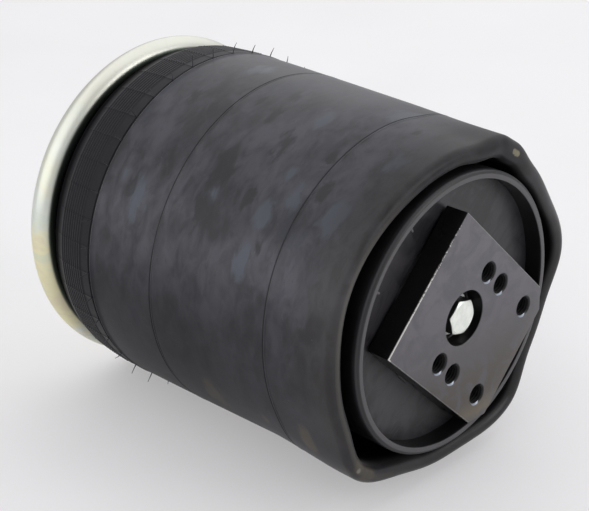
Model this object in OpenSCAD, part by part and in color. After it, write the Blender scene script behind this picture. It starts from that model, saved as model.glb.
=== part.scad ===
// Rolling-lobe air suspension spring, deflated, standing on its piston's
// mounting plate. Millimetres, +Z up along the spring's axis, origin in the
// middle of the centre bolt on the face that meets the axle bracket.

/* [Overall] */
// Height from the mounting face to the bead plate's face, with no air in
rest_h = 282; // [276:1:292]
// Running clearance between the sleeve and what it lies on
soft_gap = 0.3; // [0.25:0.05:0.5]

/* [Bead plate] */
// Outside diameter over the rolled edge
bead_plate_d = 231; // [227:1:234]
// Sheet thickness
sheet_t = 3; // [2.5:0.1:3.4]
// Outside radius of the rolled edge
roll_r = 9.3; // [8.8:0.1:10]
// How far the edge is rolled under, as an angle below the level
roll_end = 90; // [60:1:90]
// Width of the flat face outside the studs' collars
seat_edge = 1.2; // [1:0.1:2]
// How far that face stands above the rolled edge
seat_lift = 1.5; // [1:0.1:3]

/* [Studs] */
// Distance between the plain stud and the air inlet stud
stud_spacing = 157.5; // [140:0.5:160]
// Plain stud: thread diameter
stud_d = 12.7; // [10:0.1:14]
// Plain stud: length above the plate
stud_len = 28; // [22:1:50]
// Inlet stud: thread diameter
inlet_d = 19.05; // [18.5:0.05:22]
// Inlet stud: length above the plate
inlet_len = 38; // [28:1:50]
// Inlet stud: bore for the air fitting
inlet_bore_d = 11.1; // [10:0.1:12]
// Inlet stud: depth of that bore
inlet_bore_len = 15; // [10:1:20]
// Inlet stud: air passage behind the bore
passage_d = 6.5; // [4:0.5:8]
// Thickness of the studs' weld collars under the plate
collar_t = 3.5; // [3:0.5:5]
// How far the collars stand out from their studs
collar_edge = 4.5; // [3:0.5:6]
// How far the shoulders in the plate stand out from the studs' threads
stud_shoulder = 0.6; // [0.4:0.1:1]
// Chamfer at the studs' ends
stud_chamfer = 1.2; // [0.8:0.1:1.6]

/* [Sleeve] */
// How far the sleeve stands out from the bead plate at the upper mould line
upper_bulge = 0.3; // [0:0.1:1]
// How far it draws in from there to the middle mould line
middle_taper = 0.7; // [0:0.1:1.5]
// How far it draws in from the middle to the lower mould line
lower_taper = 2; // [1:0.1:3]
// Depth of the upper mould line below the bead plate's face
upper_line_depth = 67.8; // [62:0.2:74]
// Depth of the middle mould line below the bead plate's face
middle_line_depth = 126; // [118:0.5:134]
// Height of the lower mould line
line_lower_z = 60.5; // [54:0.5:68]
// Height of the lobe's lowest point
lobe_z = 8.7; // [5:0.1:12]
// Where the wall that travels with the bead plate ends and the roll begins
roll_line_z = 32; // [30:1:40]
// Free radius inside the fold of the lobe
fold_r = 0.7; // [0.6:0.1:1]
// Depth below the piston's top at which the sleeve leaves the piston
hug_depth = 54; // [50:0.5:60]
// Length over which it eases off the piston below that
ease_len = 30; // [24:1:36]
// How far it has come off the piston at the end of that length
ease_gap = 3.5; // [2.5:0.1:4.5]
// Thickness of the rubber cover
cover_t = 1.8; // [1.6:0.1:2]
// Thickness of each rubbered cord ply
ply_t = 0.9; // [0.8:0.05:1]
// Thickness of the airtight inner liner
liner_t = 1.2; // [1:0.1:1.4]
// Diameter of the steel bead wires
wire_d = 5; // [4:0.5:6]

/* [Piston] */
// Outside diameter of the rim
rim_d = 181.6; // [178:0.2:184]
// Wall of the rim and skirt
rim_wall = 5; // [4:0.5:6]
// Depth of the floor inside the rim
floor_depth = 10.5; // [8:0.5:12]
// Height from the rim to the top of the piston
piston_h = 157; // [148:1:162]
// Height of the straight part of the skirt
skirt_h = 43; // [30:1:60]
// Diameter at the shoulder, where the sleeve rolls over
shoulder_d = 172; // [168:0.5:175]
// Radius of the shoulder
shoulder_r = 12; // [10:0.5:13]
// Thickness of the crown
crown_t = 6; // [5:0.5:8]
// Thickness of the closing base
base_t = 5; // [5:0.5:7]
// Diameter of the raised pad under the mounting plate
pad_d = 101; // [96:1:110]
// Height of that pad
pad_h = 1.7; // [1:0.1:2.5]
// Number of stiffening ribs
rib_count = 12; // [8:1:16]
// Thickness of the ribs
rib_t = 3; // [2:0.5:4]
// Diameter of the ring wall that ties the ribs
ring_d = 112; // [90:1:120]
// Diameter of the centre boss
boss_d = 36; // [30:1:44]

/* [Lower clamp] */
// Radius of the lower bead's section
lower_bead_r = 5.5; // [5:0.1:6]
// Diameter of the circle through the lower bead's middle
lower_bead_d = 136; // [134:0.5:138]
// Thickness of the end closure's sheet
closure_t = 3; // [2.5:0.1:3.5]
// Outside diameter of the threaded boss that takes the centre bolt
nut_d = 26; // [24:1:30]
// Diameter of the button that holds the bumper
button_d = 38; // [34:1:42]
// Height of the boss above the end closure
nut_h = 26; // [24:1:30]
// Height of the button
button_h = 5; // [4:0.5:6]
// Width of the boss's welded flange, beyond the boss
flange_w = 4; // [3:0.5:5]
// Height of that flange
flange_h = 2.5; // [2:0.1:3]

/* [Bumper] */
// Diameter at its foot
bumper_foot_d = 92; // [80:1:98]
// Height of its straight foot
bumper_foot_h = 9; // [7:0.5:12]
// Diameter at its head
bumper_head_d = 66; // [56:1:74]
// Radius of the groove round its waist
groove_r = 5; // [4:0.5:6]
// Half the height of that groove
groove_half = 8; // [7:0.5:10]
// Half the angle that the groove's round bottom covers
groove_angle = 70; // [60:5:80]
// Rounding of its head
head_r = 8; // [6:0.5:12]
// Travel from rest until the bumper meets the bead plate
jounce = 32; // [26:1:40]

/* [Mounting plate] */
// Length along the rows of holes
plate_len = 123.2; // [116:0.2:126]
// Width across the rows
plate_w = 98.5; // [94:0.5:102]
// Thickness
plate_t = 16; // [16:0.5:18]
// Distance from the centre bolt to the near edge
plate_near = 50; // [46:0.5:54]
// Cut of the two far corners, along the rows
corner_x = 12; // [11:0.5:16]
// Cut of the two far corners, across the rows
corner_y = 11; // [10:0.5:15]
// Place of the first pair of threaded holes along the rows
hole_near = 0; // [-4:0.5:0]
// Place of the second pair
hole_mid = 18; // [16:0.5:22]
// Place of the far pair
hole_far = 54; // [48:0.5:56]
// Distance between the two rows
row_spacing = 63.5; // [58:0.5:68]
// Diameter of the threaded holes
hole_d = 12.8; // [10:0.1:13.2]
// Chamfer at the holes' mouths
hole_chamfer = 0.3; // [0.2:0.1:0.4]
// Diameter of the recess for the bolt's head
recess_d = 35.6; // [33:0.2:40]
// Depth of that recess
recess_depth = 12; // [11.5:0.1:12.5]

/* [Centre bolt] */
// Diameter of the shank
bolt_d = 14; // [12:0.5:15]
// Distance across the head's flats
bolt_af = 21; // [19:0.5:23]
// Height of the head
head_h = 8.8; // [7.5:0.1:9]
// Outside diameter of the washer
washer_d = 28; // [26:0.5:31]
// Thickness of the washer
washer_t = 2; // [1.5:0.1:2.2]
// Diameter of the two locating pins
pin_d = 8; // [6:0.5:9]
// Length of the locating pins
pin_len = 11; // [9:0.5:12]
// Distance of each locating pin from the centre bolt
pin_reach = 36; // [32:0.5:38]

/* [Hidden] */

$fn = 96;
// Clearances: bolt and pin holes, and parts that nest
bolt_gap = 0.15;
nest_gap = 0.2;
// The ribs stop this far above the base, which the boss and the ring wall meet
rib_lift = 1;
// Steps in which the curves of the soft sections are drawn
ARC_STEPS = 8;

// Heights of the stack from the mounting face up
floor_z = plate_t + pad_h;
rim_z = floor_z - floor_depth;
base_top_z = floor_z + base_t;
crown_z = rim_z + piston_h;
closure_z = crown_z + closure_t;
bolt_seat_z = recess_depth - washer_t;
boss_top_z = closure_z + nut_h;
bolt_tip_z = boss_top_z - 8;
plate_under_z = rest_h - sheet_t;
bumper_top_z = plate_under_z - jounce - 0.5;

// The piston's outside
rim_r = rim_d / 2;
inside_r = rim_r - rim_wall;
shoulder_top_r = shoulder_d / 2 - shoulder_r;
shoulder_mid_z = crown_z - shoulder_r;
skirt_top_z = rim_z + skirt_h;

// The rolled edge and the upper bead inside it
roll_mid = [bead_plate_d / 2 - roll_r, rest_h - seat_lift - roll_r];
roll_in = roll_r - sheet_t;
upper_bead_r = roll_in - 0.1;
throat_z = roll_mid.y - roll_r;
throat_r = roll_mid.x + roll_in * cos(roll_end) - nest_gap;

// The sleeve's wall
sleeve_t = cover_t + 2 * ply_t + liner_t;
upper_r = bead_plate_d / 2 + upper_bulge;
middle_r = upper_r - middle_taper;
lower_r = middle_r - lower_taper;
line_upper_z = rest_h - upper_line_depth;
line_middle_z = rest_h - middle_line_depth;
fold_out_r = fold_r + sleeve_t;
lobe_mid = [lower_r - 0.4 - fold_out_r, lobe_z + fold_out_r];
lower_bead_mid = [lower_bead_d / 2, crown_z + lower_bead_r];
bead_tail_r = shoulder_top_r - 0.8;

// A point at distance r and angle a from c, and a run of such points
function polar(c, r, a) = c + r * [cos(a), sin(a)];
function arc(c, r, a0, a1, steps = ARC_STEPS) =
    [for (i = [0:steps]) polar(c, r, a0 + (a1 - a0) * i / steps)];

// Radius of the piston's outside at height z, between the skirt and the shoulder
function piston_r(z) =
    z < skirt_top_z ? rim_r
    : rim_r + (shoulder_d / 2 - rim_r) * (z - skirt_top_z) / (shoulder_mid_z - skirt_top_z);

// The outside of the sleeve, from the throat of the rolled edge down the wall,
// round the lobe and up the piston to the lower bead
flare_r = upper_r - 2;
flare_h = 14;
wall_path = concat(
    [for (i = [0:ARC_STEPS])
        let(t = i / ARC_STEPS)
        [throat_r + (flare_r - throat_r) * t * t * (3 - 2 * t), throat_z - flare_h * t]],
    [[upper_r - 0.8, throat_z - 2 * flare_h]],
    [[upper_r, line_upper_z]],
    [[middle_r, line_middle_z]],
    [[lower_r, line_lower_z]],
    [[lower_r - 0.3, roll_line_z]]
);
hug_z = crown_z - hug_depth;
lobe_path = concat(
    [wall_path[len(wall_path) - 1]],
    arc(lobe_mid, fold_out_r, 0, -180, 2 * ARC_STEPS),
    [[piston_r(hug_z) + soft_gap + ease_gap, hug_z - ease_len]],
    [[piston_r(hug_z) + soft_gap, hug_z]],
    arc([shoulder_top_r, shoulder_mid_z], shoulder_r + soft_gap, 0, 90),
    [[bead_tail_r + soft_gap, crown_z + soft_gap]]
);
sleeve_path = concat([for (i = [0:len(wall_path) - 2]) wall_path[i]], lobe_path);

// Outward direction at each point of a path, and the path moved inward by d
function unit(v) = v / norm(v);
function outward(path, i) =
    let(t = unit(path[min(i + 1, len(path) - 1)] - path[max(i - 1, 0)])) [-t.y, t.x];
function inset(path, d) = [for (i = [0:len(path) - 1]) path[i] - d * outward(path, i)];
function backward(list) = [for (i = [len(list) - 1:-1:0]) list[i]];
function part_of(list, a, b) = [for (i = [a:b]) list[i]];

// A ring of the sleeve between two depths under its outside
module sleeve_layer(d0, d1, a, b) {
    rotate_extrude()
        polygon(concat(
            part_of(inset(sleeve_path, d0), a, b),
            backward(part_of(inset(sleeve_path, d1), a, b))
        ));
}
wall_end = len(wall_path) - 1;
path_end = len(sleeve_path) - 1;

// Six-sided plate outline with the two far corners cut
module plate_outline() {
    far = plate_len - plate_near;
    half = plate_w / 2;
    polygon([
        [-plate_near, -half], [far - corner_x, -half], [far, corner_y - half],
        [far, half - corner_y], [far - corner_x, half], [-plate_near, half]
    ]);
}

// Centres of the six threaded holes
hole_places = [
    for (x = [hole_near, hole_mid, hole_far], side = [-1, 1]) [x, side * row_spacing / 2]
];

module at_pins() {
    for (side = [-1, 1]) translate([side * pin_reach, 0, plate_t - pin_len / 2]) children();
}

module mounting_plate() {
    color([0.30, 0.29, 0.31])
    difference() {
        linear_extrude(plate_t) plate_outline();
        translate([0, 0, -1]) cylinder(d = recess_d, h = recess_depth + 1);
        cylinder(d = bolt_d + 2 * bolt_gap, h = plate_t + 1);
        for (place = hole_places) translate(place) {
            translate([0, 0, -1]) cylinder(d = hole_d, h = plate_t + 2);
            translate([0, 0, -0.01])
                cylinder(d1 = hole_d + 2 * hole_chamfer, d2 = hole_d, h = hole_chamfer);
        }
        at_pins() cylinder(d = pin_d + 0.1, h = pin_len);
    }
}

// The piston's outside as a solid of revolution, down to height z0
module piston_form(z0, inset_by) {
    top = crown_z - (inset_by > 0 ? crown_t : 0);
    r = max(shoulder_r - inset_by, 1);
    rotate_extrude()
        polygon(concat(
            [[0, z0], [rim_r - inset_by, z0], [rim_r - inset_by, skirt_top_z]],
            arc([shoulder_d / 2 - inset_by - r, top - r], r, 0, 90),
            [[0, top]]
        ));
}

// One rib, from the boss to the middle of the skirt's wall, clear of the base
module piston_rib() {
    reach = rim_wall / 2;
    foot_z = base_top_z + rib_lift;
    start_r = boss_d / 2 - 2;
    rotate([90, 0, 0])
        linear_extrude(rib_t, center = true)
            polygon(concat(
                [[start_r, foot_z], [rim_r - reach, foot_z]],
                [[rim_r - reach, skirt_top_z]],
                arc([shoulder_top_r, shoulder_mid_z], shoulder_r - reach, 0, 90),
                [[start_r, crown_z - reach]]
            ));
}

// The moulding: skirt, crown, ribs, the ring wall that ties them and the boss
module piston() {
    rim_round = rim_wall / 2 - 0.5;
    color([0.27, 0.27, 0.28])
    difference() {
        union() {
            difference() {
                piston_form(rim_z + rim_round, 0);
                piston_form(rim_z - 1, rim_wall);
            }
            rotate_extrude() {
                for (r = [inside_r + rim_round, rim_r - rim_round])
                    translate([r, rim_z + rim_round]) circle(rim_round);
                translate([inside_r + rim_round, rim_z])
                    square([rim_wall - 2 * rim_round, 2 * rim_round]);
            }
            for (i = [0:rib_count - 1]) rotate(i * 360 / rib_count) piston_rib();
            translate([0, 0, base_top_z])
                cylinder(d = boss_d, h = crown_z - base_top_z - crown_t / 2);
            difference() {
                translate([0, 0, base_top_z])
                    cylinder(d = ring_d, h = crown_z - base_top_z - crown_t / 2);
                translate([0, 0, base_top_z - 1])
                    cylinder(d = ring_d - 2 * rib_t, h = crown_z);
                }
        }
        translate([0, 0, base_top_z - 1])
            cylinder(d = bolt_d + 2 * bolt_gap, h = piston_h);
    }
}

// The disc that closes the piston, with the pad that carries the mounting plate
module piston_base() {
    color([0.24, 0.24, 0.25])
    difference() {
        union() {
            translate([0, 0, floor_z]) cylinder(r = inside_r - nest_gap, h = base_t);
            translate([0, 0, plate_t]) cylinder(d = pad_d, h = pad_h + base_t / 2);
        }
        translate([0, 0, plate_t - 1])
            cylinder(d = bolt_d + 2 * bolt_gap, h = base_t + pad_h + 2);
        at_pins() cylinder(d = pin_d + 0.1, h = pin_len + bolt_gap);
    }
}

module locating_pins() {
    color("silver")
    at_pins() translate([0, 0, bolt_gap]) cylinder(d = pin_d, h = pin_len - bolt_gap);
}

module piston_bolt() {
    color([0.85, 0.86, 0.84])
    translate([0, 0, bolt_seat_z]) {
        translate([0, 0, -head_h / 2])
            cylinder(d = bolt_d, h = bolt_tip_z - bolt_seat_z + head_h / 2);
        translate([0, 0, -head_h])
            intersection() {
                rotate(30) cylinder(d = bolt_af / cos(30), h = head_h, $fn = 6);
                cylinder(d1 = bolt_af * 0.94, d2 = bolt_af * 0.94 + 4 * head_h, h = head_h);
            }
    }
}

module bolt_washer() {
    color([0.80, 0.80, 0.76])
    difference() {
        translate([0, 0, bolt_seat_z]) cylinder(d = washer_d, h = washer_t);
        translate([0, 0, bolt_seat_z - 1])
            cylinder(d = bolt_d + 2 * bolt_gap, h = washer_t + 2);
    }
}

// Pressed steel disc: flat middle on the crown, rim pressed over the lower bead
module end_closure() {
    hump_z = lower_bead_mid.y + lower_bead_r + nest_gap;
    hump_in = lower_bead_mid.x - lower_bead_r - nest_gap;
    hump_out = lower_bead_mid.x + lower_bead_r - 0.5;
    dish_r = hump_in - closure_t - 3;
    color([0.62, 0.63, 0.62])
    difference() {
        rotate_extrude()
            polygon([
                [0, crown_z], [dish_r + 2, crown_z], [hump_in, crown_z + 3],
                [hump_in, hump_z], [hump_out + nest_gap, hump_z],
                [hump_out + 3, hump_z - 2], [hump_out + 3 + closure_t, hump_z - 1],
                [hump_out + 1, hump_z + closure_t], [hump_in - closure_t + 1, hump_z + closure_t],
                [hump_in - closure_t, hump_z], [hump_in - closure_t, closure_z + 2],
                [dish_r, closure_z], [0, closure_z]
            ]);
        translate([0, 0, crown_z - 1]) cylinder(d = nut_d + 0.1, h = closure_t + 2);
    }
}

// Blind threaded boss in the closure, with the button that holds the bumper
module threaded_boss() {
    color([0.66, 0.66, 0.64])
    difference() {
        union() {
            translate([0, 0, crown_z]) cylinder(d = nut_d, h = boss_top_z - crown_z);
            translate([0, 0, closure_z]) cylinder(d = nut_d + 2 * flange_w, h = flange_h);
            translate([0, 0, boss_top_z - button_h]) cylinder(d = button_d, h = button_h);
        }
        translate([0, 0, crown_z - 1])
            cylinder(d = bolt_d + 0.1, h = bolt_tip_z - crown_z + 3);
    }
}

// Stepped rubber cone with a groove round its waist, snapped over the button
module bumper() {
    foot = bumper_foot_d / 2;
    head = bumper_head_d / 2;
    h = bumper_top_z - closure_z;
    waist_z = closure_z + 0.55 * h;
    waist = head + 0.45 * (foot - head);
    color([0.13, 0.13, 0.13])
    difference() {
        rotate_extrude()
            polygon(concat(
                [[0, closure_z], [foot, closure_z], [foot, closure_z + bumper_foot_h]],
                [[waist + groove_r, waist_z - groove_half]],
                arc([waist + groove_r - 1, waist_z], groove_r, groove_angle - 180, -groove_angle - 180),
                [[waist + groove_r / 2, waist_z + groove_half]],
                arc([head - head_r, bumper_top_z - head_r], head_r, 0, 90),
                [[0, bumper_top_z]]
            ));
        translate([0, 0, closure_z - 1]) {
            cylinder(d = nut_d + 2 * soft_gap, h = nut_h + 1);
            cylinder(d = nut_d + 2 * (flange_w + soft_gap), h = flange_h + 1 + soft_gap);
        }
        translate([0, 0, boss_top_z - button_h - nest_gap])
            cylinder(d = button_d + 2 * soft_gap, h = button_h + 2 * nest_gap);
    }
}

module ring_of_wire(mid) {
    color([0.72, 0.62, 0.40]) rotate_extrude() translate(mid) circle(d = wire_d);
}

// Rubber foot of the sleeve round the lower wire
module lower_bead() {
    color([0.16, 0.16, 0.17])
    rotate_extrude()
        difference() {
            union() {
                translate(lower_bead_mid) circle(lower_bead_r);
                translate([lower_bead_mid.x, crown_z])
                    square([bead_tail_r - lower_bead_mid.x, sleeve_t]);
            }
            translate(lower_bead_mid) circle(d = wire_d);
        }
}

module lower_bead_wire() { ring_of_wire(lower_bead_mid); }

module rolling_lobe() {
    color([0.17, 0.17, 0.18]) sleeve_layer(0, cover_t, wall_end, path_end);
}

module outer_ply() {
    color([0.42, 0.36, 0.28])
    sleeve_layer(cover_t + 0.1, cover_t + ply_t, 0, path_end);
}

module inner_ply() {
    color([0.50, 0.43, 0.33])
    sleeve_layer(cover_t + ply_t, cover_t + 2 * ply_t, 0, path_end);
}

module sleeve_liner() {
    color([0.14, 0.14, 0.15])
    sleeve_layer(cover_t + 2 * ply_t, sleeve_t, 0, path_end);
}

// The part of the cover that travels with the bead plate
module sleeve_cover() {
    color([0.18, 0.18, 0.20]) sleeve_layer(0, cover_t, 0, wall_end);
}

module upper_bead() {
    color([0.16, 0.16, 0.17])
    rotate_extrude()
        difference() {
            union() {
                translate(roll_mid) circle(upper_bead_r);
                translate([throat_r - sleeve_t, throat_z + nest_gap])
                    square([sleeve_t, roll_mid.y - throat_z - nest_gap]);
            }
            translate(roll_mid) circle(d = wire_d);
        }
}

module upper_bead_wire() { ring_of_wire(roll_mid); }

// Pressed plate with its edge rolled round the bead
module bead_plate() {
    seat_r = (stud_spacing + inlet_d) / 2 + collar_edge + seat_edge;
    slope = min(4, roll_mid.x - seat_r);
    edge_z = rest_h - seat_lift;
    color([0.78, 0.77, 0.70])
    difference() {
        rotate_extrude() {
            polygon([
                [0, plate_under_z], [seat_r - 1, plate_under_z],
                [seat_r + slope - 1, edge_z - sheet_t],
                [roll_mid.x + 0.1, edge_z - sheet_t], [roll_mid.x + 0.1, edge_z],
                [seat_r + slope, edge_z], [seat_r, rest_h], [0, rest_h]
            ]);
            difference() {
                translate(roll_mid) circle(roll_r);
                translate(roll_mid) circle(roll_in);
                // all that lies left of the crown of the roll and of its lip
                polygon([
                    roll_mid, roll_mid + [0, 2 * roll_r], roll_mid + [-2 * roll_r, 2 * roll_r],
                    roll_mid + [-2 * roll_r, -2 * roll_r],
                    polar(roll_mid, 3 * roll_r, -roll_end)
                ]);
            }
        }
        for (side = [-1, 1])
            translate([side * stud_spacing / 2, 0, plate_under_z - 1])
                cylinder(d = (side < 0 ? stud_d : inlet_d) + 2 * stud_shoulder + 0.1, h = sheet_t + 2);
    }
}

// A weld stud: collar under the plate, shoulder in it, chamfered shank above it
module weld_stud(d, len) {
    translate([0, 0, plate_under_z - collar_t]) cylinder(d = d + 2 * collar_edge, h = collar_t);
    translate([0, 0, plate_under_z]) cylinder(d = d + 2 * stud_shoulder, h = sheet_t);
    translate([0, 0, rest_h]) cylinder(d = d, h = len - stud_chamfer);
    translate([0, 0, rest_h + len - stud_chamfer])
        cylinder(d1 = d, d2 = d - 2 * stud_chamfer, h = stud_chamfer);
}

module mounting_stud() {
    color([0.80, 0.79, 0.72])
    translate([-stud_spacing / 2, 0, 0]) weld_stud(stud_d, stud_len);
}

module air_inlet_stud() {
    color([0.80, 0.79, 0.72])
    translate([stud_spacing / 2, 0, 0])
        difference() {
            weld_stud(inlet_d, inlet_len);
            translate([0, 0, rest_h + inlet_len - inlet_bore_len])
                cylinder(d = inlet_bore_d, h = inlet_bore_len + 1);
            translate([0, 0, plate_under_z - collar_t - 1])
                cylinder(d = passage_d, h = sheet_t + inlet_len + collar_t + 1);
        }
}

mounting_plate();
piston();
piston_base();
locating_pins();
piston_bolt();
bolt_washer();
end_closure();
threaded_boss();
bumper();
lower_bead();
lower_bead_wire();
rolling_lobe();
outer_ply();
inner_ply();
sleeve_liner();
sleeve_cover();
upper_bead();
upper_bead_wire();
bead_plate();
mounting_stud();
air_inlet_stud();
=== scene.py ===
import math
from functools import reduce

import bmesh
import bpy
import numpy as np
from mathutils import Matrix, Vector, noise


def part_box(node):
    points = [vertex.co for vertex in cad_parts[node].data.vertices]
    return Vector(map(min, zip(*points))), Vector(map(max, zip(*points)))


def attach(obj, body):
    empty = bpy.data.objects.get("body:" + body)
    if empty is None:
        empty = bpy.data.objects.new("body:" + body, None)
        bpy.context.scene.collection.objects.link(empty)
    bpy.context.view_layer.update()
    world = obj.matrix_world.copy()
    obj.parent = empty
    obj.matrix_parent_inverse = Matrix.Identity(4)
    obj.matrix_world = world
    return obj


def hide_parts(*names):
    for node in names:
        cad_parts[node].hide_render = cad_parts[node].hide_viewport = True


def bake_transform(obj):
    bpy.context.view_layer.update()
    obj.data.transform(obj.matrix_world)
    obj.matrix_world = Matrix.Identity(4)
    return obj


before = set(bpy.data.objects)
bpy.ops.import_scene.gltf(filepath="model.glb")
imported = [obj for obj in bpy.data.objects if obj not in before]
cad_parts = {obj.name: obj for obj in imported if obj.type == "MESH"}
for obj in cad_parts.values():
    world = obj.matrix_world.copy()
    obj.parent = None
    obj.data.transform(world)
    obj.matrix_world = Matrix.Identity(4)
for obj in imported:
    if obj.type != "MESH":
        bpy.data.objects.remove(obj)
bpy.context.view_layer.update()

# Sizes that the frame gives, in metres
_, piston_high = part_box("piston")
plate_low, plate_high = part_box("mounting_plate")
_, bead_plate_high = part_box("bead_plate")
lobe_low, lobe_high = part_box("rolling_lobe")
_, cover_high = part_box("sleeve_cover")
stud_low, stud_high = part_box("mounting_stud")
bolt_low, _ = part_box("piston_bolt")
inlet_low, inlet_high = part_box("air_inlet_stud")

mm = 0.001
crown_z = piston_high.z
face_z = bead_plate_high.z
throat_z = cover_high.z
lobe_z = lobe_low.z
bead_r = bead_plate_high.x
rim_r = piston_high.x
stud_x = (stud_low.x + stud_high.x) / 2
inlet_x = (inlet_low.x + inlet_high.x) / 2

# The sleeve: its cover, the fold at its low end, the roll of the bead plate round its
# edge, its neck in that roll, its mould lines, and its radius at the top and the bottom
cover_t = 1.8 * mm
fold_r = 5.5 * mm
fold_mid = Vector((lobe_high.x - 0.1 * mm - fold_r, lobe_z + fold_r))
roll_r = 9.3 * mm
sheet_t = 3 * mm
roll_mid = Vector((bead_r - roll_r, face_z - 1.5 * mm - roll_r))
neck_z = roll_mid.y - 3.6 * mm
line_upper_z = 214.2 * mm
line_middle_z = 156 * mm
line_lower_z = 60.5 * mm
upper_r = bead_r + 0.3 * mm
lower_r = upper_r - 2.7 * mm
vent_count = 40

# The lobe lies slack on the rim: where it stands out and where it is pressed
# in, as (angle round the axis in degrees, radius in mm)
lobe_corners = [
    (-130, 105.0), (-108, 112.0), (-100, 111.4), (-84, 108.0), (-48, 116.6), (-18, 105.7),
    (10, 117.4), (54, 105.2), (92, 116.4), (122, 109.0), (163, 112.2),
]
corner_sharpness = 2.0
# Heights up to which the wall is pressed in full, and where the pressing has died out, on
# the wall and on the inner side
press_low_z = 22 * mm
press_high_z = 92 * mm
press_inner_z = 84 * mm
# Where the fold stands off the piston: angle and reach in degrees, growth in mm
thick_fold = (-104, 30, 3.8)
# How far light comes into the hollow beside the piston: (degrees round the axis, share)
light_reach = ((-160, 0.0), (-140, 0.2), (-120, 0.6), (-100, 0.8), (-80, 0.65), (-50, 0.27),
               (0, 0.7), (22, 0.6), (50, 1.0), (75, 1.25), (88, 1.6), (98, 1.5), (120, 0.25),
               (140, -0.1), (180, 0.0))


# Shapes

def smoothstep(t):
    t = np.clip(t, 0, 1)
    return t * t * (3 - 2 * t)


def smooth_line(points, steps):
    """Points on a curve through the given (r, z) points, steps to each stretch."""
    p = np.array([points[0], *points, points[-1]], float)
    out = []
    for i in range(1, len(p) - 2):
        for t in np.linspace(0, 1, steps, endpoint=False):
            a, b, c, d = p[i - 1], p[i], p[i + 1], p[i + 2]
            out.append(0.5 * (
                2 * b + (c - a) * t + (2 * a - 5 * b + 4 * c - d) * t ** 2
                + (3 * b - a - 3 * c + d) * t ** 3
            ))
    out.append(p[-2])
    return np.array(out)


def arc(centre, radius, start, end, steps):
    """(r, z) points on an arc, angles in degrees."""
    angles = np.radians(np.linspace(start, end, steps + 1))
    return np.stack([centre[0] + radius * np.cos(angles), centre[1] + radius * np.sin(angles)], 1)


def around(r, z, angles):
    """Rows of 3-D points at the angles, from radii and a column of heights."""
    x = r * np.cos(angles)
    return np.stack([x, r * np.sin(angles), np.broadcast_to(z, x.shape)], 2)


def turned(profile, angles):
    """Rows of 3-D points from (r, z) points, one row for each."""
    profile = np.asarray(profile, float)
    return around(profile[:, :1], profile[:, 1:], angles)


def even_angles(count):
    return np.arange(count) * 2 * math.pi / count


def placed(name, data):
    """A new object of the scene."""
    made = bpy.data.objects.new(name, data)
    bpy.context.scene.collection.objects.link(made)
    return made


def smoothed(mesh, crease):
    """The mesh with smooth faces that break at edges sharper than crease, in degrees."""
    mesh.shade_smooth()
    mesh.set_sharp_from_angle(angle=math.radians(crease))
    return mesh


def make_piece(name, points, faces, crease=40, **values):
    """A mesh object, with values kept for each of its points."""
    mesh = bpy.data.meshes.new(name)
    mesh.from_pydata(np.asarray(points).tolist(), [], faces)
    work = bmesh.new()
    work.from_mesh(mesh)
    bmesh.ops.recalc_face_normals(work, faces=work.faces)
    work.to_mesh(mesh)
    work.free()
    smoothed(mesh, crease)
    for key, value in values.items():
        kind = "FLOAT_VECTOR" if np.ndim(value) == 2 else "FLOAT"
        field = "vector" if np.ndim(value) == 2 else "value"
        attribute = mesh.attributes.new(key, kind, "POINT")
        attribute.data.foreach_set(field, np.asarray(value, np.float32).ravel())
    return placed(name, mesh)


def ring_faces(rows, columns, closed):
    """Quads between rows of points; closed joins the last row to the first."""
    return [
        (i * columns + j, i * columns + (j + 1) % columns,
         ((i + 1) % rows) * columns + (j + 1) % columns, ((i + 1) % rows) * columns + j)
        for i in range(rows if closed else rows - 1) for j in range(columns)
    ]


def closed_ring(name, rows, crease=40, **values):
    """A ring-shaped solid whose section is the loop of rows."""
    rows = np.asarray(rows)
    count, columns = rows.shape[:2]
    return make_piece(name, rows.reshape(-1, 3), ring_faces(count, columns, True), crease, **values)


def capped(name, rows, crease=40):
    """A solid of rows, closed by a flat cap at the first and the last."""
    rows = np.asarray(rows)
    count, columns = rows.shape[:2]
    points = np.concatenate([rows.reshape(-1, 3), rows[:1].mean(1), rows[-1:].mean(1)])
    faces = ring_faces(count, columns, False)
    low, high = count * columns, count * columns + 1
    last = (count - 1) * columns
    faces += [(low, (j + 1) % columns, j) for j in range(columns)]
    faces += [(high, last + j, last + (j + 1) % columns) for j in range(columns)]
    return make_piece(name, points, faces, crease)


def joined(name, parts):
    """One object from several."""
    work = bmesh.new()
    for part in parts:
        work.from_mesh(part.data)
    mesh = bpy.data.meshes.new(name)
    work.to_mesh(mesh)
    work.free()
    for part in parts:
        bpy.data.objects.remove(part)
    return placed(name, mesh)


def cut(piece, cutters, crease=30):
    """The piece less the cutters."""
    for cutter in cutters:
        change = piece.modifiers.new("cut", "BOOLEAN")
        change.operation = "DIFFERENCE"
        change.solver = "EXACT"
        change.object = cutter
    bpy.context.view_layer.update()
    solid = piece.evaluated_get(bpy.context.evaluated_depsgraph_get())
    mesh = bpy.data.meshes.new_from_object(solid)
    piece.modifiers.clear()
    piece.data = smoothed(mesh, crease)
    for cutter in cutters:
        bpy.data.objects.remove(cutter)
    return piece


# The sleeve

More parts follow.
